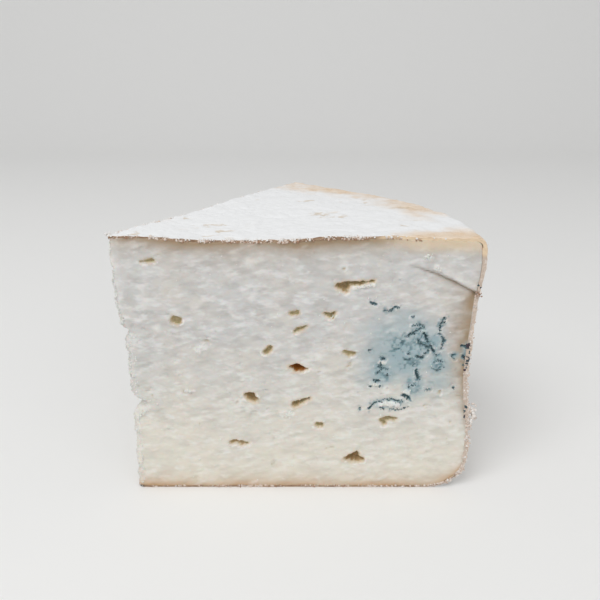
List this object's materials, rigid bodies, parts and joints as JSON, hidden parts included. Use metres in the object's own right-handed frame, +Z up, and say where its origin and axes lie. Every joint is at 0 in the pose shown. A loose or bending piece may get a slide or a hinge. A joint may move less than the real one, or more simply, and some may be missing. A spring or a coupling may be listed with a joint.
{
  "type": "blue cheese wedge",
  "caption": "Upright wedge cut from a blue cheese wheel, with two cut faces of pale curd, a bloomy natural rind, eyes and a patch of blue-green mould veins.",
  "frame": {"origin": "bottom centre of the wedge's bounding box, on the surface it stands on", "axes": "+Z up; the near cut face runs along +X from the wheel's axis to the rind and faces -Y; the rind's curved side faces +X and +Y"},
  "size_m": [0.1318, 0.1156, 0.1035],
  "materials": {
    "curd": "pale ivory crumbly curd, soft and slightly moist, with tan towards the rind",
    "rind": "dry natural rind under a powdery white bloom, tan where it is worn",
    "mould": "matt blue-green mould in the veins"
  },
  "bodies": {
    "root": {"cheese_wedge": "curd"}
  },
  "joints": []
}
